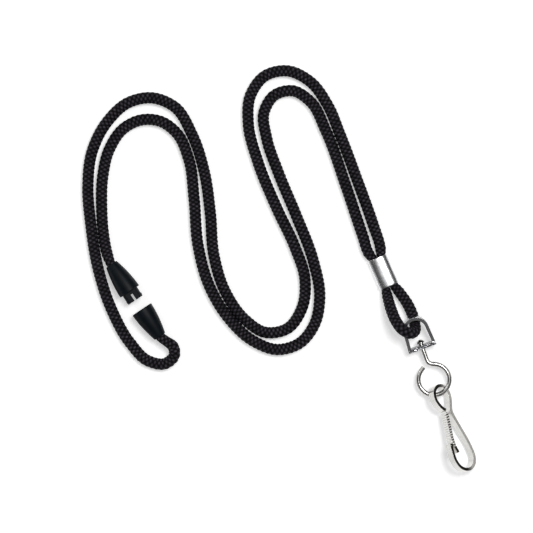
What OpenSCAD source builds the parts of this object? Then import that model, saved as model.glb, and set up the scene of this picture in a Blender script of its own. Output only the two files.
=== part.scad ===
// Neck lanyard of round braided cord, laid out flat on a table.
// Frame: the table is z = 0, the swivel chain runs along -Y, and the origin is
// the middle of the crimp ferrule's underside. Lengths are in millimetres.

/* [Cord] */
// Diameter of the braided cord
cord_d = 4; // [3.9:0.05:4]
// Sides of the cord's plain tube
cord_sides = 10; // [8:1:12]

/* [Ferrule] */
// Length of the crimped sleeve
ferrule_l = 11.6; // [10:0.1:11.7]
// Thickness of the sleeve's wall
ferrule_wall = 0.5; // [0.4:0.05:0.6]

/* [Breakaway clasp] */
// Diameter of each half at its open end
clasp_d = 8.4; // [8.2:0.1:8.4]
// Length of each half's shell
clasp_l = 12.3; // [12:0.1:12.4]
// Diameter of each half where the cord goes in
clasp_tip_d = 4.8; // [4.6:0.1:5]
// Diameter of the pair of prongs
prong_d = 6.4; // [6:0.1:6.5]
// Length of the prongs beyond the shoulder
prong_l = 3.9; // [3.4:0.1:4]
// Height of the prongs, flat above and below
prong_h = 4.8; // [4:0.1:5]
// Width of the slot between the prongs
prong_slot = 0.9; // [0.6:0.1:1.2]
// Gap between the shoulder and the socket's mouth when the clasp is open
clasp_gap = 8; // [7:0.5:8]

/* [Swivel eye] */
// Outer width of the D at its bar
eye_w = 10.9; // [10.6:0.1:11]
// Outer length of the D
eye_l = 12.6; // [12.6:0.1:12.8]
// Outer radius of the D's round end
eye_r = 4.9; // [4.8:0.05:5]
// Thickness of the strip
eye_t = 1.25; // [1.1:0.05:1.3]
// Width of the strip
eye_h = 3.1; // [2.8:0.1:3.1]
// Pitch of the D, whose round end is raised by the cord under it
eye_pitch = 12.5; // [12:0.1:13]

/* [Swivel link] */
// Diameter of the wire
wire_d = 1.8; // [1.6:0.05:1.85]
// Radius of the ring, to the middle of the wire
ring_r = 5.8; // [5.7:0.05:5.9]
// Diameter of the upset head that holds the wire in the D
head_d = 3.1; // [2.8:0.1:3.3]

/* [Spring hook] */
// Thickness of the hook's strip
hook_t = 1.2; // [1.1:0.05:1.2]
// Width of the hook's strip
hook_h = 2.7; // [2.4:0.1:2.7]
// Number of thumb ridges on the gate
ridge_count = 11; // [6:1:12]
// Height of the thumb ridges
ridge_h = 0.3; // [0.2:0.05:0.35]

/* [Hidden] */
round_fn = 64;
eps = 0.01;

// The cord's route, end to end: each point is [x, y, z, radius]. It is squeezed
// to a smaller radius where a clasp half or the ferrule grips it.
STRAND_B = [
  [-94.1, 35.1, 4.2, 1.7], [-94.7, 37.5, 4.2, 1.7], [-94.8, 42, 3.2, 2], [-93.9, 48, 2.1, 2],
  [-90.8, 59, 2, 2], [-86.8, 69, 2, 2], [-80.5, 78.5, 2, 2], [-73, 83.8, 2, 2],
  [-65.5, 84.5, 2, 2], [-58.8, 81.3, 2, 2], [-54.8, 75, 2, 2], [-54, 65, 2, 2],
  [-57.2, 50, 2, 2], [-61.8, 33, 2, 2], [-63, 17, 2, 2], [-60.4, 3.7, 2, 2],
  [-54.7, -7.5, 2, 2], [-47, -13.8, 2, 2], [-38.5, -14.3, 2, 2], [-31, -9.7, 2, 2],
  [-25.7, -1, 2, 2], [-23.2, 13, 2, 2], [-23.4, 31, 2, 2], [-24.2, 49, 2, 2],
  [-23.9, 62, 2, 2], [-21.5, 71.5, 2, 2], [-15.5, 76.2, 2, 2], [-8.5, 75.3, 2, 2],
  [-3.9, 69.5, 2, 2], [-2.1, 57, 2, 2], [-2.1, 36, 2, 2], [-2.6, 15, 2, 2],
  [-2.7, 8.3, 2.1, 1.9], [-2, 5.9, 2.15, 1.6], [-1.3, -5.9, 2.15, 1.6]
];
BIGHT = [
  [-1.7, -9.5, 3, 1.9], [-2.1, -14.5, 5.8, 2], [-1.9, -18.9, 8.3, 2], [-0.9, -22.3, 9.6, 2],
  [1.3, -24.8, 8.9, 2], [3.3, -24.8, 6.6, 2], [4.2, -23.1, 3.9, 2], [4.7, -20.4, 2.6, 2],
  [4.6, -15.5, 2.1, 2], [3.1, -9.2, 2.1, 1.9]
];
STRAND_A = [
  [2, -5.9, 2.15, 1.6], [1.3, 5.9, 2.15, 1.6], [2, 8.5, 2.1, 1.9], [2.5, 18, 2, 2],
  [2.6, 36, 2, 2], [2.4, 54, 2, 2], [1.8, 66, 2, 2], [-1.3, 76.3, 2, 2],
  [-8, 83.1, 2, 2], [-16.5, 84.2, 2, 2], [-24, 79.3, 2, 2], [-28.5, 69.5, 2, 2],
  [-30, 55, 2, 2], [-29.3, 36, 2, 2], [-27.9, 20, 2, 2], [-28.5, 7.5, 2, 2],
  [-33, -2, 2, 2], [-41, -7.6, 2, 2], [-49.3, -6.1, 2, 2], [-54.8, 1, 2, 2],
  [-58.1, 13, 2, 2], [-57.5, 27.5, 2, 2], [-53.3, 43, 2, 2], [-50.2, 58, 2, 2],
  [-49.7, 73, 2, 2], [-52.2, 84.7, 2, 2], [-58.8, 90.8, 2, 2], [-68, 92.3, 2, 2],
  [-78, 88.2, 2, 2], [-87.2, 79.5, 2, 2], [-93, 68, 2, 2], [-96.9, 54, 2, 2],
  [-99.9, 38, 2, 2], [-100.4, 21, 2, 2], [-98.2, 7.5, 2, 2], [-94, -1.3, 2, 2],
  [-88.4, -4.3, 2.2, 2], [-84.2, -2.5, 2.9, 2], [-83.5, 0.6, 3.6, 2], [-85.3, 3.6, 4.1, 1.8],
  [-86.8, 5.9, 4.2, 1.7], [-87.4, 8.3, 4.2, 1.7]
];
ROUTE = concat(STRAND_B, BIGHT, STRAND_A);
cord_scale = cord_d / 4;
// The table lies under the tube's lowest corners.
cord_fit = 0.97;

// Ferrule: two strands side by side fill its bore.
grip_r = 1.65;
ferrule_z = grip_r + ferrule_wall;
ferrule_turn = 3.5;

// Clasp: both halves share one axis, along which the socket slides shut.
clasp_at = [-91.7, 25.6, clasp_d / 2];
clasp_turn = 14;
clasp_steps = 14;
ogive_power = 1.8;
cord_hole_d = 3.5;
cord_hole_l = 2.8;
socket_bore_d = 6.9;
socket_bore_l = 4.6;
socket_hole_d = 4;
snap_d = 6.7;
snap_w = 0.6;
snap_back = 0.9;
slot_l = 2.7;
lead_in = 0.35;

// Swivel: the D's bar is at the height of the link's wire.
chain_x = 4;
bar_y = -31.2;
link_z = 4.05;
pin_gap = 0.06;
eye_centre_y = eye_l - eye_t / 2 - eye_r;
head_y = -29.9;
head_l = 1.5;
ring_y = -44.3;
bend_r = 2.6;
bend_y = sqrt(pow(ring_r + bend_r, 2) - bend_r * bend_r);
bend_angle = atan2(bend_y, bend_r);
ring_end = 125;
ring_tail = 1.6;
// Small overlaps that join the wire's stretches and its head into one solid.
lap = 3;
// The wire draws down a little in its tight bend.
bend_wire_d = wire_d - 0.04;
head_sunk = 0.1;

// Hook: its strip follows these points in the hook's own plane, from the neck
// round the eye, down the back, round the bottom and up to the tip.
hook_at = [4, -51, 4.15];
hook_roll = 45;
hook_pitch = -2.2;
HOOK_PATH = [
  [-0.9, -5.55], [-2, -4.6], [-3.3, -2.6], [-3.9, -0.3], [-3.3, 2.1], [-1.6, 3.55], [0.2, 3.9],
  [2, 3.35], [3.4, 1.9], [3.9, -0.2], [3.4, -2.6], [2.4, -4.8], [1.8, -6.6], [2.1, -9],
  [3.1, -13], [4.4, -18], [5.1, -22.5], [5.05, -25.6], [3.6, -28], [1.2, -29.2], [-1.3, -29],
  [-3.6, -27.6], [-4.9, -25], [-5, -21.5], [-4.35, -18]
];
// The gate's strip, from the neck down to its free end inside the tip.
GATE_PATH = [[-0.8, -6.4], [-1.3, -9], [-1.85, -11.6], [-2.35, -14.2], [-2.8, -16.8],
  [-2.85, -19.4], [-2.3, -22]];
strip_steps = 4;
bow_steps = 36;
gate_steps = 6;
ridge_first = 3;

// Curve through points: a Hermite segment with chord-length tangents.
function tangent(P, i) =
  let (n = len(P) - 1)
  i == 0 ? unit(P[1] - P[0]) :
  i == n ? unit(P[n] - P[n - 1]) :
  let (a = norm(P[i] - P[i - 1]), b = norm(P[i + 1] - P[i]))
  ((P[i] - P[i - 1]) / a * b + (P[i + 1] - P[i]) / b * a) / (a + b);
function unit(v) = v / norm(v);
function along(P, i, u) =
  let (h = norm(P[i + 1] - P[i]), s = u * u, c = s * u)
  (2 * c - 3 * s + 1) * P[i] + (c - 2 * s + u) * h * tangent(P, i)
  + (3 * s - 2 * c) * P[i + 1] + (c - s) * h * tangent(P, i + 1);
function smooth(P, steps) = concat(
  [for (i = [0 : len(P) - 2]) for (k = [0 : steps - 1]) along(P, i, k / steps)],
  [P[len(P) - 1]]);

// Outline of a strip of thickness t that follows a plane curve.
function side(C, i, d) =
  let (v = unit(C[min(i + 1, len(C) - 1)] - C[max(i - 1, 0)]))
  C[i] + d * [-v[1], v[0]];
function strip(C, t) = concat(
  [for (i = [0 : len(C) - 1]) side(C, i, t / 2)],
  [for (i = [len(C) - 1 : -1 : 0]) side(C, i, -t / 2)]);

// Ring of the cord's tube at one point of its route.
function place(p) = [p[0], p[1], p[2]];
PLACES = [for (p = ROUTE) place(p)];
function ring_points(i) =
  let (v = tangent(PLACES, i), s = unit(cross(v, [0, 0, 1])), w = cross(s, v),
       r = ROUTE[i][3] * cord_scale * cord_fit)
  [for (k = [0 : cord_sides - 1])
    let (a = 360 * (k + 0.5) / cord_sides) PLACES[i] + r * (cos(a) * s + sin(a) * w)];

module cord() {
  rings = len(ROUTE);
  n = cord_sides;
  points = [for (i = [0 : rings - 1]) each ring_points(i)];
  walls = [for (i = [0 : rings - 2]) for (k = [0 : n - 1]) each [
    [i * n + k, i * n + (k + 1) % n, (i + 1) * n + (k + 1) % n],
    [i * n + k, (i + 1) * n + (k + 1) % n, (i + 1) * n + k]]];
  first = [for (k = [n - 1 : -1 : 0]) k];
  last = [for (k = [0 : n - 1]) (rings - 1) * n + k];
  color([0.11, 0.1, 0.12]) polyhedron(points, concat(walls, [first, last]));
}

// Flat sleeve section: two half rounds joined by flats.
module oval(r, half_w) {
  union() {
    translate([-half_w, 0]) circle(r, $fn = round_fn);
    translate([half_w, 0]) circle(r, $fn = round_fn);
    square([2 * half_w, 2 * r], center = true);
  }
}

module ferrule() {
  color([0.84, 0.84, 0.85])
  rotate([0, 0, ferrule_turn]) translate([0, ferrule_l / 2, ferrule_z]) rotate([90, 0, 0])
  difference() {
    linear_extrude(ferrule_l) oval(grip_r + ferrule_wall, grip_r);
    translate([0, 0, -eps]) linear_extrude(ferrule_l + 2 * eps) oval(grip_r + eps, grip_r);
  }
}

// Bullet shape of one clasp half: full diameter at y = 0, slender at y = clasp_l.
function ogive(u) = clasp_d / 2 - (clasp_d - clasp_tip_d) / 2 * pow(u, ogive_power);
module bullet() {
  outline = concat(
    [[0, 0], [ogive(0) - lead_in / 2, 0]],
    [for (k = [0 : clasp_steps]) [ogive(k / clasp_steps), lead_in / 2 + k / clasp_steps
      * (clasp_l - lead_in)]],
    [[clasp_tip_d / 2 - lead_in / 2, clasp_l], [0, clasp_l]]);
  rotate([-90, 0, 0]) rotate_extrude($fn = round_fn) polygon(outline);
}

// A rod along Y from y0 to y1.
module rod(d, y0, y1) {
  translate([0, y0, 0]) rotate([-90, 0, 0]) cylinder(d = d, h = y1 - y0, $fn = round_fn);
}

module on_clasp_axis() {
  translate(clasp_at) rotate([0, 0, clasp_turn]) children();
}

module clasp_plug() {
  color([0.08, 0.09, 0.1]) on_clasp_axis() {
    difference() {
      bullet();
      rod(cord_hole_d, clasp_l - cord_hole_l, clasp_l + 1);
    }
    difference() {
      intersection() {
        union() {
          rod(prong_d, -prong_l, eps);
          rod(snap_d, -prong_l + snap_back - snap_w / 2, -prong_l + snap_back + snap_w / 2);
        }
        translate([-snap_d, -prong_l - 1, -prong_h / 2]) cube([2 * snap_d, prong_l + 2, prong_h]);
      }
      translate([-prong_slot / 2, -prong_l - 1, -prong_h])
        cube([prong_slot, slot_l + 1, 2 * prong_h]);
    }
  }
}

module clasp_socket() {
  color([0.08, 0.09, 0.1]) on_clasp_axis() translate([0, -clasp_gap, 0]) mirror([0, 1, 0])
  difference() {
    bullet();
    rod(socket_bore_d, -1, socket_bore_l);
    rod(snap_d + 2 * lead_in, prong_l - snap_back - snap_w, prong_l - snap_back + snap_w);
    rod(socket_hole_d, clasp_l - cord_hole_l, clasp_l + 1);
  }
}

// A flat bar closed by a round bow: the bow starts where a line from the corner touches it.
function bow_start(corner, r) =
  let (v = corner - [0, eye_centre_y]) atan2(v[1], v[0]) + acos(r / norm(v));
module d_shape(r, half_w, y0) {
  from = bow_start([half_w, y0], r);
  step = (180 - 2 * from) / bow_steps;
  polygon(concat([[-half_w, y0], [half_w, y0]],
    [for (k = [0 : bow_steps]) let (a = from + k * step)
      [r * cos(a), eye_centre_y + r * sin(a)]]));
}

module swivel_eye() {
  color([0.42, 0.42, 0.43]) difference() {
    translate([chain_x, bar_y, link_z]) rotate([eye_pitch, 0, 0])
    translate([0, 0, -eye_h / 2]) linear_extrude(eye_h) difference() {
      d_shape(eye_r, eye_w / 2, -eye_t / 2);
      d_shape(eye_r - eye_t, eye_w / 2 - eye_t, eye_t / 2);
    }
    translate([chain_x, 0, link_z]) rod(wire_d + 2 * pin_gap, bar_y - 2, bar_y + 2);
  }
}

// Part of a ring of wire about the Z axis, between two angles.
module wire_arc(r, from, to, d) {
  rotate([0, 0, from]) rotate_extrude(angle = to - from, $fn = round_fn)
    translate([r, 0]) circle(d = d, $fn = round_fn);
}

module swivel_link() {
  color([0.8, 0.79, 0.77]) translate([chain_x, ring_y, link_z]) {
    wire_arc(ring_r, ring_end - 360, bend_angle, wire_d);
    translate([bend_r, bend_y, 0]) wire_arc(bend_r, 180 - lap, 180 + bend_angle + lap, bend_wire_d);
    rod(wire_d, bend_y, head_y - ring_y + head_sunk);
    rotate([0, 0, ring_end]) translate([ring_r, 0, 0]) rotate([0, 0, 180])
      rod(bend_wire_d, -head_sunk, ring_tail);
    translate([0, head_y - ring_y, 0]) rotate([-90, 0, 0]) rotate_extrude($fn = round_fn)
      intersection() {
        translate([0, head_l - head_d / 2]) circle(d = head_d, $fn = round_fn);
        square([head_d, head_l]);
      }
  }
}

module on_hook_plane() {
  translate(hook_at) rotate([hook_pitch, 0, 0]) rotate([0, hook_roll, 0])
  translate([0, 0, -hook_h / 2]) linear_extrude(hook_h) children();
}

module hook() {
  color([0.85, 0.84, 0.82]) on_hook_plane() polygon(strip(smooth(HOOK_PATH, strip_steps), hook_t));
}

// Outline of the gate's strip, with a thumb ridge at every second point of its outer side.
function ridge(i) =
  i % 2 == 1 && i >= ridge_first && i < ridge_first + 2 * ridge_count ? ridge_h : 0;
function ridged(C, t) = concat(
  [for (i = [0 : len(C) - 1]) side(C, i, t / 2)],
  [for (i = [len(C) - 1 : -1 : 0]) side(C, i, -t / 2 - ridge(i))]);

module hook_gate() {
  color([0.85, 0.84, 0.82]) on_hook_plane()
    polygon(ridged(smooth(GATE_PATH, gate_steps), hook_t));
}

cord();
ferrule();
clasp_plug();
clasp_socket();
swivel_eye();
swivel_link();
hook();
hook_gate();
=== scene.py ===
"""Neck lanyard laid flat in an S: a braided cord, a breakaway clasp, a crimped ferrule and a swivel hook.

Everything is in the part's own frame, in metres. The cord's route is written in millimetres and turned into
metres once.
"""

import math

import bpy
import numpy as np
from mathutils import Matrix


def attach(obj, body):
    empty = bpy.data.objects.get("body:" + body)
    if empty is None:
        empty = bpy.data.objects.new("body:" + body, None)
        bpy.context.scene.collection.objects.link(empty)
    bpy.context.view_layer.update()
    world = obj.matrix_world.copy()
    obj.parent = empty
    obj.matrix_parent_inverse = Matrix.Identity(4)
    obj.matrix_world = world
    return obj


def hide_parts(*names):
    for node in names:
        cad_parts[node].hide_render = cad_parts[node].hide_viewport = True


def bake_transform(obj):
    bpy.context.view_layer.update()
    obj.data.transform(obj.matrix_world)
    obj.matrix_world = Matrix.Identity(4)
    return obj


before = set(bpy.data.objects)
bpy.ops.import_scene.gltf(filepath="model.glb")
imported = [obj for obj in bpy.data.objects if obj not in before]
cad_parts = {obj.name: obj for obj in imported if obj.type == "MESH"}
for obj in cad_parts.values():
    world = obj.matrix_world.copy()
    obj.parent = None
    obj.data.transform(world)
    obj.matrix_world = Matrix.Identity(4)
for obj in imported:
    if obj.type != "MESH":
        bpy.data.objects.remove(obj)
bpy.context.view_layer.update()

MM = 0.001


# ---------------------------------------------------------------- sizes of the object that more than one piece uses

# The braid: so many yarns wound each way, and the length of cord that one crossing takes. RELIEF is the depth of
# the grooves, and CREST is the radius of the yarns' crests as a share of the cord's own radius.
YARNS = 5
CROSSING = 1.65 * MM
RELIEF = 0.34 * MM
CREST = 1.11

# The cord's mesh: a ring at every step of its length, so many sides, and the lift that keeps the crests on the
# table.
RING_STEP = 0.2 * MM
SIDES = 52
LIFT = 0.18 * MM

# The sleeve is crimped on a little askew, by this many degrees.
SLEEVE_TURN = 3.5

# The direction across the hook's strip: the hook lies rolled by 45 degrees about its length.
HOOK_ACROSS = (0.7071, 0.0271, 0.7066)

# The thumb ridges on the gate, where painted highlights break its dark edge: how far apart they are, and where
# along the object they start.
RIDGE_STEP = 0.95 * MM
RIDGES_FROM_Y = -70.5 * MM

# The swivel eye's bar lies on the hook's side of this place.
EYE_BAR_Y = -30.5 * MM


# ---------------------------------------------------------------- colours and nodes


def linear(code):
    """A six-digit sRGB hex colour as linear RGBA."""
    parts = [int(code[i : i + 2], 16) / 255 for i in (0, 2, 4)]
    return tuple(c / 12.92 if c <= 0.04045 else ((c + 0.055) / 1.055) ** 2.4 for c in parts) + (1.0,)


def add(tree, kind, settings=None, **sockets):
    """Adds one node to a tree, with its settings and its links.

    A socket goes by its name with _ for a space, or by its place as i0, i1 and so on. Its value is a constant, an
    output, or a node, which stands for its own first output.
    """
    node = tree.nodes.new("ShaderNode" + kind)
    for name, value in (settings or {}).items():
        setattr(node, name, value)
    for name, value in sockets.items():
        spot = node.inputs[int(name[1:]) if name[1:].isdigit() else name.replace("_", " ")]
        if isinstance(value, bpy.types.Node):
            value = value.outputs[0]
        if isinstance(value, bpy.types.NodeSocket):
            tree.links.new(value, spot)
        else:
            spot.default_value = value
    return node


def empty_tree(owner):
    """The node tree of a material or a world, with nothing in it."""
    owner.use_nodes = True
    owner.node_tree.nodes.clear()
    return owner.node_tree


# ---------------------------------------------------------------- materials


def braided_polyester():
    """Braided polyester: near black, glossier on the crest of each yarn, with painted highlight on the crests and
    painted shade in the grooves.

    The fibres are finer than shows, so their grain is drawn as a ribbing along each yarn with a soft lint of about
    0.4 mm over it. The strength of the painted crest highlight changes at random over 1.6 mm.
    """
    made = bpy.data.materials.new("braided_polyester")
    tree = empty_tree(made)
    relief = add(tree, "Attribute", {"attribute_name": "relief"}).outputs["Fac"]
    uv = add(tree, "UVMap", {"uv_map": "yarn"})
    bands = {"wave_type": "BANDS", "bands_direction": "X"}
    filament = add(tree, "TexWave", bands, Vector=uv, Scale=1.1, Distortion=0.8).outputs["Fac"]
    place = add(tree, "TexCoord").outputs["Object"]
    lint = add(tree, "TexNoise", Vector=place, Scale=2.6 / MM, Detail=3.0)
    cloud = add(tree, "TexNoise", Vector=place, Scale=0.62 / MM, Detail=1.0)
    # Random patches over 1.6 mm in which the painted crest highlight is stronger or weaker.
    highlight_strength_patches = add(tree, "MapRange", Value=cloud, To_Min=0.0, To_Max=1.9)
    fuzz = add(tree, "MapRange", Value=lint, To_Min=0.4, To_Max=1.2)
    top = add(tree, "Math", {"operation": "POWER"}, i0=relief, i1=4.0)
    patchy = add(tree, "Math", {"operation": "MULTIPLY"}, i0=highlight_strength_patches, i1=fuzz)
    crest = add(tree, "Math", {"operation": "MULTIPLY"}, i0=top, i1=patchy)
    # Painted highlight and painted shade: by the braid's height, the yarn crests are painted paler and the grooves
    # near black.
    colour = add(tree, "Mix", {"data_type": "RGBA"}, i0=crest, i6=linear("030304"), i7=linear("4f4a53"))
    faint_lint = add(tree, "Math", {"operation": "MULTIPLY"}, i0=lint, i1=0.6)
    grain = add(tree, "Math", {"operation": "ADD"}, i0=filament, i1=faint_lint)
    shader = add(
        tree,
        "BsdfPrincipled",
        Base_Color=colour.outputs[2],
        Roughness=add(tree, "MapRange", Value=crest, To_Min=0.75, To_Max=0.45),
        Specular_IOR_Level=0.08,
        Sheen_Weight=0.005,
        Sheen_Roughness=0.5,
        Sheen_Tint=linear("b8b4c0"),
        Normal=add(tree, "Bump", Height=grain, Strength=0.4, Distance=0.03 * MM),
    )
    add(tree, "OutputMaterial", Surface=shader)
    return made


def rolled_aluminium():
    """Bright rolled aluminium, with the long faint lines of the rolling and a few shallow dents of the crimp.

    The lines are 0.1 mm wide and 2 mm long. The dents are 3 mm across.
    """
    made = bpy.data.materials.new("rolled_aluminium")
    tree = empty_tree(made)
    place = add(tree, "TexCoord").outputs["Object"]
    drawn_out = add(tree, "Mapping", Vector=place, Scale=(9 / MM, 0.5 / MM, 9 / MM))
    lines = add(tree, "TexNoise", Vector=drawn_out, Scale=1.0)
    dents = add(tree, "TexNoise", Vector=place, Scale=0.33 / MM, Detail=1.0)
    edge = add(tree, "Bevel", {"samples": 4}, Radius=0.18 * MM)
    lined = add(tree, "Bump", Height=lines, Strength=0.06, Distance=0.02 * MM, Normal=edge)
    shader = add(
        tree,
        "BsdfPrincipled",
        Base_Color=linear("e2e2e4"),
        Metallic=1.0,
        Roughness=add(tree, "MapRange", Value=lines, To_Min=0.2, To_Max=0.32),
        Normal=add(tree, "Bump", Height=dents, Strength=0.35, Distance=0.3 * MM, Normal=lined),
    )
    add(tree, "OutputMaterial", Surface=shader)
    return made


def nickel_plate(name, colour, roughness, edge_radius, shaded_edges=False, glinting_ridges=False, hammered=False):
    """Bright nickel plate over steel: a grey mirror, uneven over 2.4 mm, with a haze of 0.6 mm.

    A strip with shaded edges has its cut edges painted dark as painted shade towards the gate side, fading to pale
    towards the hook's back. One with glinting ridges has that painted shade broken by painted highlights where the
    thumb ridges stand. A hammered one has the marks of the riveting on its bar, about 1 mm across.
    """
    made = bpy.data.materials.new(name)
    tree = empty_tree(made)
    coordinates = add(tree, "TexCoord")
    place = coordinates.outputs["Object"]
    spot = add(tree, "SeparateXYZ", Vector=place)
    uneven = add(tree, "TexNoise", Vector=place, Scale=0.42 / MM)
    haze = add(tree, "TexNoise", Vector=place, Scale=1.8 / MM, Detail=3.0)
    edge = add(tree, "Bevel", {"samples": 6}, Radius=edge_radius)
    tone = linear(colour)
    if shaded_edges:
        facing = add(
            tree, "VectorMath", {"operation": "DOT_PRODUCT"}, i0=coordinates.outputs["Normal"], i1=HOOK_ACROSS
        ).outputs["Value"]
        away = add(tree, "Math", {"operation": "ABSOLUTE"}, i0=facing)
        cut = add(tree, "Math", {"operation": "GREATER_THAN"}, i0=away, i1=0.9)
        # Painted shade: by their place across the hook, the cut edges are painted near black on the gate side and
        # pale towards the hook's back.
        back = add(tree, "MapRange", Value=spot.outputs["X"], From_Min=4.6 * MM, From_Max=6.4 * MM)
        edge_shade_and_glints = add(
            tree, "Mix", {"data_type": "RGBA"}, i0=back, i6=linear("24221f"), i7=linear("b9b7b2")
        ).outputs[2]
        if glinting_ridges:
            # Painted highlight: pale glints are painted on the gate's edge wherever a thumb ridge stands up.
            turns = 2 * math.pi / RIDGE_STEP
            phase = add(tree, "Math", {"operation": "MULTIPLY"}, i0=spot.outputs["Y"], i1=turns)
            wave = add(tree, "Math", {"operation": "SINE"}, i0=phase)
            raised = add(tree, "Math", {"operation": "GREATER_THAN"}, i0=wave, i1=0.1)
            ridges = add(tree, "Math", {"operation": "GREATER_THAN"}, i0=spot.outputs["Y"], i1=RIDGES_FROM_Y)
            ridge_glint_mask = add(tree, "Math", {"operation": "MULTIPLY"}, i0=raised, i1=ridges)
            edge_shade_and_glints = add(
                tree, "Mix", {"data_type": "RGBA"}, i0=ridge_glint_mask, i6=edge_shade_and_glints, i7=linear("e6e4df")
            ).outputs[2]
        tone = add(tree, "Mix", {"data_type": "RGBA"}, i0=cut, i6=tone, i7=edge_shade_and_glints).outputs[2]
    normal = add(tree, "Bump", Height=uneven, Strength=0.25, Distance=0.15 * MM, Normal=edge)
    if hammered:
        dents = add(tree, "TexNoise", Vector=place, Scale=0.9 / MM, Detail=1.0)
        on_bar = add(tree, "Math", {"operation": "LESS_THAN"}, i0=spot.outputs["Y"], i1=EYE_BAR_Y)
        marks = add(tree, "Math", {"operation": "MULTIPLY"}, i0=dents, i1=on_bar)
        normal = add(tree, "Bump", Height=marks, Strength=1.0, Distance=0.8 * MM, Normal=normal)
    shader = add(
        tree,
        "BsdfPrincipled",
        Base_Color=tone,
        Metallic=1.0,
        Roughness=add(tree, "MapRange", Value=haze, To_Min=roughness, To_Max=roughness + 0.08),
        Normal=normal,
    )
    add(tree, "OutputMaterial", Surface=shader)
    return made


def moulded_plastic():
    """Satin moulded plastic: blue-black, with a grain of 0.2 mm and a sheen that changes over 2.6 mm."""
    made = bpy.data.materials.new("moulded_plastic")
    tree = empty_tree(made)
    place = add(tree, "TexCoord").outputs["Object"]
    grain = add(tree, "TexNoise", Vector=place, Scale=5.2 / MM)
    cloud = add(tree, "TexNoise", Vector=place, Scale=0.38 / MM)
    edge = add(tree, "Bevel", {"samples": 4}, Radius=0.2 * MM)
    colour = add(tree, "Mix", {"data_type": "RGBA"}, i0=cloud, i6=linear("03080c"), i7=linear("071018"))
    shader = add(
        tree,
        "BsdfPrincipled",
        Base_Color=colour.outputs[2],
        Roughness=add(tree, "MapRange", Value=cloud, To_Min=0.42, To_Max=0.54),
        Specular_IOR_Level=0.15,
        Normal=add(tree, "Bump", Height=grain, Strength=0.12, Distance=0.02 * MM, Normal=edge),
    )
    add(tree, "OutputMaterial", Surface=shader)
    return made


def opal_acrylic():
    """White opal acrylic, lit faintly from below, so that shadows on it stay pale."""
    made = bpy.data.materials.new("opal_acrylic")
    tree = empty_tree(made)
    shader = add(
        tree,
        "BsdfPrincipled",
        Base_Color=(0.85, 0.85, 0.85, 1.0),
        Roughness=0.85,
        Emission_Color=(1.0, 1.0, 1.0, 1.0),
        Emission_Strength=0.46,
    )
    add(tree, "OutputMaterial", Surface=shader)
    return made


# ---------------------------------------------------------------- camera


def camera():
    """Straight down on the table through a long lens, with the hook towards the lower right."""
    away = 2.0
    picture_width = 0.1999
    data = bpy.data.cameras.new("camera")
    data.sensor_width = 36.0
    data.lens = data.sensor_width * away / picture_width
    data.clip_end = 20.0
    eye = bpy.data.objects.new("camera", data)
    eye.location = (-0.0404, 0.0169, away)
    eye.rotation_euler = (0.0, 0.0, math.radians(-20))
    bpy.context.scene.collection.objects.link(eye)
    bpy.context.scene.camera = eye


camera()


# ---------------------------------------------------------------- the cord

# Route of the cord's middle, in millimetres, with the cord's radius at each point.
STRAND_B = [
    (-94.1, 35.1, 4.2, 1.7), (-94.7, 37.5, 4.2, 1.7), (-94.8, 42, 3.2, 2), (-93.9, 48, 2.1, 2),
    (-90.8, 59, 2, 2), (-86.8, 69, 2, 2), (-80.5, 78.5, 2, 2), (-73, 83.8, 2, 2), (-65.5, 84.5, 2, 2),
    (-58.8, 81.3, 2, 2), (-54.8, 75, 2, 2), (-54, 65, 2, 2), (-57.2, 50, 2, 2), (-61.8, 33, 2, 2),
    (-63, 17, 2, 2), (-60.4, 3.7, 2, 2), (-54.7, -7.5, 2, 2), (-47, -13.8, 2, 2), (-38.5, -14.3, 2, 2),
    (-31, -9.7, 2, 2), (-25.7, -1, 2, 2), (-23.2, 13, 2, 2), (-23.4, 31, 2, 2), (-24.2, 49, 2, 2),
    (-23.9, 62, 2, 2), (-21.5, 71.5, 2, 2), (-15.5, 76.2, 2, 2), (-8.5, 75.3, 2, 2), (-3.9, 69.5, 2, 2),
    (-2.1, 57, 2, 2), (-2.1, 36, 2, 2), (-2.6, 15, 2, 2), (-2.7, 8.3, 2.1, 1.9), (-2, 5.9, 2.15, 1.6),
    (-1.3, -5.9, 2.15, 1.6),
]
BIGHT = [
    (-1.7, -9.5, 3, 1.9), (-2.1, -14.5, 5.8, 2), (-1.9, -18.9, 8.3, 2), (-0.9, -22.3, 9.6, 2),
    (1.3, -24.8, 8.9, 2), (3.3, -24.8, 6.6, 2), (4.2, -23.1, 3.9, 2), (4.7, -20.4, 2.6, 2),
    (4.6, -15.5, 2.1, 2), (3.1, -9.2, 2.1, 1.9),
]
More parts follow.
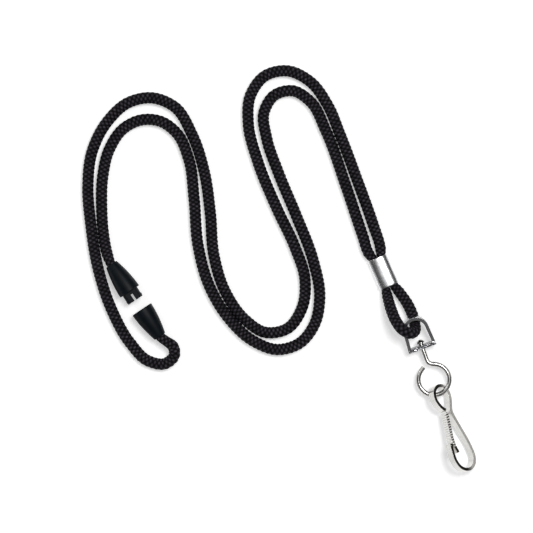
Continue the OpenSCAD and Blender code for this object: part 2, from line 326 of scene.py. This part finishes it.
STRAND_A = [
    (2, -5.9, 2.15, 1.6), (1.3, 5.9, 2.15, 1.6), (2, 8.5, 2.1, 1.9), (2.5, 18, 2, 2), (2.6, 36, 2, 2),
    (2.4, 54, 2, 2), (1.8, 66, 2, 2), (-1.3, 76.3, 2, 2), (-8, 83.1, 2, 2), (-16.5, 84.2, 2, 2),
    (-24, 79.3, 2, 2), (-28.5, 69.5, 2, 2), (-30, 55, 2, 2), (-29.3, 36, 2, 2), (-27.9, 20, 2, 2),
    (-28.5, 7.5, 2, 2), (-33, -2, 2, 2), (-41, -7.6, 2, 2), (-49.3, -6.1, 2, 2), (-54.8, 1, 2, 2),
    (-58.1, 13, 2, 2), (-57.5, 27.5, 2, 2), (-53.3, 43, 2, 2), (-50.2, 58, 2, 2), (-49.7, 73, 2, 2),
    (-52.2, 84.7, 2, 2), (-58.8, 90.8, 2, 2), (-68, 92.3, 2, 2), (-78, 88.2, 2, 2), (-87.2, 79.5, 2, 2),
    (-93, 68, 2, 2), (-96.9, 54, 2, 2), (-99.9, 38, 2, 2), (-100.4, 21, 2, 2), (-98.2, 7.5, 2, 2),
    (-94, -1.3, 2, 2), (-88.4, -4.3, 2.2, 2), (-84.2, -2.5, 2.9, 2), (-83.5, 0.6, 3.6, 2),
    (-85.3, 3.6, 4.1, 1.8), (-86.8, 5.9, 4.2, 1.7), (-87.4, 8.3, 4.2, 1.7),
]
ROUTE = np.array(STRAND_B + BIGHT + STRAND_A, float) * MM


def smooth_line(points, steps=40):
    """A cubic curve through the points whose slope at each one weighs the chords on both sides of it."""
    place = points[:, :3]
    chord = np.linalg.norm(np.diff(place, axis=0), axis=1)
    unit = np.diff(place, axis=0) / chord[:, None]
    slope = np.empty_like(place)
    slope[0], slope[-1] = unit[0], unit[-1]
    before, after = chord[:-1, None], chord[1:, None]
    slope[1:-1] = (unit[:-1] * after + unit[1:] * before) / (before + after)
    rows = []
    for i, h in enumerate(chord):
        u = np.linspace(0, 1, steps, endpoint=False)[:, None]
        s, c = u**2, u**3
        spot = (
            (2 * c - 3 * s + 1) * place[i]
            + (c - 2 * s + u) * h * slope[i]
            + (3 * s - 2 * c) * place[i + 1]
            + (c - s) * h * slope[i + 1]
        )
        radius = points[i, 3] + (points[i + 1, 3] - points[i, 3]) * (3 * s - 2 * c)
        rows.append(np.hstack([spot, radius, np.full_like(u, i) + u]))
    rows.append([[*points[-1], len(points) - 1.0]])
    return np.vstack(rows)


def even_line(rows, step):
    """The same line with a ring at every step of its length. Returns the rows and the length so far at each."""
    run = np.concatenate([[0], np.cumsum(np.linalg.norm(np.diff(rows[:, :3], axis=0), axis=1))])
    at = np.linspace(0, run[-1], int(round(run[-1] / step)) + 1)
    return np.column_stack([np.interp(at, run, rows[:, k]) for k in range(rows.shape[1])]), at


def level_frames(line):
    """Two directions across the line at each ring: one carried along without twist, and one square to it."""
    ahead = np.gradient(line, axis=0)
    ahead /= np.linalg.norm(ahead, axis=1)[:, None]
    across = np.empty_like(ahead)
    now = np.cross(ahead[0], (0, 0, 1))
    for i, t in enumerate(ahead):
        now = now - t * np.dot(now, t)
        now = now / np.linalg.norm(now)
        across[i] = now
    return across, np.cross(across, ahead)


def braid(turn, run):
    """Height of the braid from 0 to 1 at an angle round the cord and a length along it.

    Yarns wind both ways. In every second diamond one way lies on top, in the others the other way does, and each
    is a rounded ridge that dips under at its ends. Also returns how far across and along its yarn each point is.
    """
    u = YARNS * turn + run / CROSSING
    v = YARNS * turn - run / CROSSING
    a, b = u - np.floor(u), v - np.floor(v)
    first = (np.floor(u) + np.floor(v)) % 2 == 0
    across, lengthwise = np.where(first, a, b), np.where(first, b, a)
    roundness, fullness, lowest = 0.92, 0.6, 0.25
    ridge = np.sqrt(np.clip(1 - (2 * across - 1) ** 2 * roundness, 0, 1))
    arch = np.sin(np.pi * lengthwise) ** fullness
    return ridge * (lowest + (1 - lowest) * arch), across, lengthwise


def cord_mesh(name, points, height, across, lengthwise):
    """A closed tube from rings of points, with a flat cap at each end, all facing outwards.

    Each vertex has its height in the braid, and the UV map says how far across and along its yarn it lies.
    """
    rings, sides = points.shape[:2]
    mesh = bpy.data.meshes.new(name)
    mesh.vertices.add(rings * sides)
    mesh.vertices.foreach_set("co", points.reshape(-1))
    i, j = np.meshgrid(np.arange(rings - 1), np.arange(sides), indexing="ij")
    near, far = i * sides + j, i * sides + (j + 1) % sides
    quads = np.stack([near, near + sides, far + sides, far], -1).reshape(-1, 4)
    caps = [np.arange(sides), np.arange(sides)[::-1] + (rings - 1) * sides]
    corners = np.concatenate([quads.reshape(-1), *caps])
    sizes = np.concatenate([np.full(len(quads), 4), [sides, sides]])
    mesh.loops.add(len(corners))
    mesh.loops.foreach_set("vertex_index", corners)
    mesh.polygons.add(len(sizes))
    mesh.polygons.foreach_set("loop_start", np.concatenate([[0], np.cumsum(sizes)[:-1]]))
    mesh.polygons.foreach_set("use_smooth", np.concatenate([np.ones(len(quads), bool), [False, False]]))
    mesh.update(calc_edges=True)
    mesh.attributes.new("relief", "FLOAT", "POINT").data.foreach_set("value", height.reshape(-1))
    layer = mesh.uv_layers.new(name="yarn")
    pair = np.stack([across.reshape(-1)[corners], lengthwise.reshape(-1)[corners]], -1)
    layer.data.foreach_set("uv", pair.reshape(-1))
    made = bpy.data.objects.new(name, mesh)
    bpy.context.scene.collection.objects.link(made)
    return made


def make_cord():
    """The whole cord as six braided tubes, end to end, that share one braid."""
    finish = braided_polyester()
    rows, run = even_line(smooth_line(ROUTE), RING_STEP)
    rows[:, 2] += LIFT
    across, square = level_frames(rows[:, :3])
    turn = np.arange(SIDES) / SIDES
    height, across_yarn, along_yarn = braid(turn[None, :], run[:, None])
    radius = rows[:, 3:4] * CREST - RELIEF * (1 - height)
    angle = 2 * np.pi * turn[None, :, None]
    surface = rows[:, None, :3] + radius[..., None] * (
        np.cos(angle) * across[:, None, :] + np.sin(angle) * square[:, None, :]
    )
    # Each piece, and the point of the route at which it ends.
    bight, strand_a = len(STRAND_B) - 1, len(STRAND_B) + len(BIGHT)
    pieces = {
        "cord_b_clasp": 14,
        "cord_b_ferrule": bight,
        "cord_bight": strand_a,
        "cord_a_ferrule": strand_a + 12,
        "cord_a_middle": strand_a + 30,
        "cord_a_clasp": len(ROUTE) - 1,
    }
    for name, first, last in zip(pieces, [0, *pieces.values()], pieces.values()):
        lo, hi = np.searchsorted(rows[:, 4], [first, last - 1e-6])
        cut = slice(lo, min(hi, len(rows) - 1) + 1)
        piece = cord_mesh(name, surface[cut], height[cut], across_yarn[cut], along_yarn[cut])
        piece.data.materials.append(finish)
        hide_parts("cord")
        if name == "cord_a_clasp":
            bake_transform(piece)
        else:
            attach(piece, "lanyard")


make_cord()


# ---------------------------------------------------------------- metal and plastic parts


def dress(node, finish):
    """Gives a solid part its finish, in each of its own slots."""
    part = bpy.data.objects[node]
    for place in part.material_slots:
        place.material = finish


def sleeve():
    """The crimped sleeve: a flattened tube with a gently crowned top, a wall of its own and a slightly uneven rim.

    Its section is a superellipse, x = w |cos a|^p and z = h |sin a|^p with their signs, and the inner face is the
    same curve smaller by the wall. The far rim waves by a few hundredths of a millimetre.
    """
    half_w, half_h, half_l = 3.8 * MM, 2.15 * MM, 5.8 * MM
    wall, soft, ripple, power = 0.5 * MM, 0.1 * MM, 0.06 * MM, 0.92
    sides, stations = 96, 25
    angle = 2 * np.pi * np.arange(sides) / sides

    def ring(inset, y):
        c, s = np.cos(angle), np.sin(angle)
        x = (half_w - inset) * np.sign(c) * np.abs(c) ** power
        z = (half_h - inset) * np.sign(s) * np.abs(s) ** power
        wave = ripple * np.sin(3 * angle + 0.6) * (y < 0)
        return np.stack([x, y + wave, z + half_h], -1)

    along = np.linspace(-half_l + soft, half_l - soft, stations)
    outer = [ring(0, y) for y in along]
    inner = [ring(wall, y) for y in along[::-1]]
    top_rim = [ring(0.3 * soft, half_l - 0.3 * soft), ring(soft, half_l), ring(wall - soft, half_l)]
    low_rim = [ring(wall - soft, -half_l), ring(soft, -half_l), ring(0.3 * soft, -half_l + 0.3 * soft)]
    points = np.stack(outer + top_rim + inner + low_rim)
    turn = math.radians(SLEEVE_TURN)
    x, y = points[..., 0].copy(), points[..., 1].copy()
    points[..., 0] = x * math.cos(turn) - y * math.sin(turn)
    points[..., 1] = x * math.sin(turn) + y * math.cos(turn)
    rings = len(points)
    i, j = np.meshgrid(np.arange(rings), np.arange(sides), indexing="ij")
    after, beside = (i + 1) % rings, (j + 1) % sides
    quads = np.stack([i * sides + j, after * sides + j, after * sides + beside, i * sides + beside], -1)
    mesh = bpy.data.meshes.new("ferrule_sleeve")
    mesh.from_pydata(points.reshape(-1, 3).tolist(), [], quads.reshape(-1, 4).tolist())
    mesh.update()
    mesh.polygons.foreach_set("use_smooth", np.ones(rings * sides, bool))
    made = bpy.data.objects.new("ferrule_sleeve", mesh)
    bpy.context.scene.collection.objects.link(made)
    mesh.materials.append(rolled_aluminium())
    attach(made, "lanyard")
    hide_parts("ferrule")


sleeve()
plastic = moulded_plastic()
dress("clasp_plug", plastic)
dress("clasp_socket", plastic)
dress("swivel_eye", nickel_plate("nickel_plated_pressing", "a2a2a5", 0.2, 0.25 * MM, hammered=True))
dress("swivel_link", nickel_plate("nickel_plated_wire", "b2b1af", 0.14, 0.1 * MM))
dress("hook", nickel_plate("nickel_plated_strip", "dbdad7", 0.17, 0.12 * MM, shaded_edges=True))
gate_plate = nickel_plate("nickel_plated_gate_strip", "dbdad7", 0.17, 0.12 * MM, shaded_edges=True, glinting_ridges=True)
dress("hook_gate", gate_plate)


# ---------------------------------------------------------------- table and light


def table():
    """A wide white light table that the lanyard lies on, 6 m square."""
    half = 3.0
    mesh = bpy.data.meshes.new("light_table")
    mesh.from_pydata([(-half, -half, 0), (half, -half, 0), (half, half, 0), (-half, half, 0)], [], [(0, 1, 2, 3)])
    made = bpy.data.objects.new("light_table", mesh)
    made.location = (0, 0, -0.02 * MM)
    mesh.materials.append(opal_acrylic())
    bpy.context.scene.collection.objects.link(made)


def soft_light(name, power, size, bearing, height, away):
    """A round soft light that looks at the middle of the lanyard from a bearing and a height, in degrees."""
    data = bpy.data.lights.new(name, "AREA")
    data.energy = power
    data.shape = "DISK"
    data.size = size
    made = bpy.data.objects.new(name, data)
    turn, lift = math.radians(bearing), math.radians(height)
    middle = np.array([-40, 10, 0]) * MM
    ray = np.array([math.cos(lift) * math.cos(turn), math.cos(lift) * math.sin(turn), math.sin(lift)])
    made.location = middle + away * ray
    made.rotation_euler = (math.pi / 2 - lift, 0.0, turn + math.pi / 2)
    bpy.context.scene.collection.objects.link(made)


# The room's brightness, as (height of the direction, level) from the horizon up, on the side away from the key
# light and on the light's own side.
SHADED_SIDE = [(0.0, 0.95), (0.2, 0.85), (0.3, 0.06), (0.93, 0.09), (0.97, 0.2), (0.985, 0.85)]
LIT_SIDE = [(0.0, 0.12), (0.25, 0.05), (0.8, 0.08), (0.93, 0.5), (0.96, 0.8), (0.985, 0.85)]
KEY_SIDE = (0.907, 0.423, 0.0)


def studio():
    """White overhead, with a darker band round the horizon that gives bright metal its edges."""
    world = bpy.data.worlds.new("studio")
    bpy.context.scene.world = world
    tree = empty_tree(world)
    direction = add(tree, "TexCoord").outputs["Generated"]
    height = add(tree, "SeparateXYZ", Vector=direction).outputs["Z"]
    sides = []
    for stops in (SHADED_SIDE, LIT_SIDE):
        ramp = add(tree, "ValToRGB", Fac=height)
        points = ramp.color_ramp.elements
        for k, (position, level) in enumerate(stops):
            point = points[k] if k < 2 else points.new(position)
            point.position, point.color = position, (level, level, level, 1.0)
        sides.append(ramp)
    aim = add(tree, "VectorMath", {"operation": "DOT_PRODUCT"}, i0=direction, i1=KEY_SIDE).outputs["Value"]
    side = add(tree, "MapRange", Value=aim, From_Min=-0.5, From_Max=0.5)
    around = add(tree, "Mix", {"data_type": "RGBA"}, i0=side, i6=sides[0], i7=sides[1]).outputs[2]
    seen = add(tree, "LightPath").outputs["Is Camera Ray"]
    white = (1.0, 1.0, 1.0, 1.0)
    colour = add(tree, "Mix", {"data_type": "RGBA"}, i0=seen, i6=around, i7=white).outputs[2]
    add(tree, "OutputWorld", Surface=add(tree, "Background", Color=colour, Strength=1.0))


bpy.context.scene.view_settings.view_transform = "Standard"
table()
studio()
soft_light("key", power=21.0, size=0.8, bearing=25.0, height=70.0, away=2.0)
soft_light("fill", power=7.0, size=0.9, bearing=130.0, height=45.0, away=2.4)
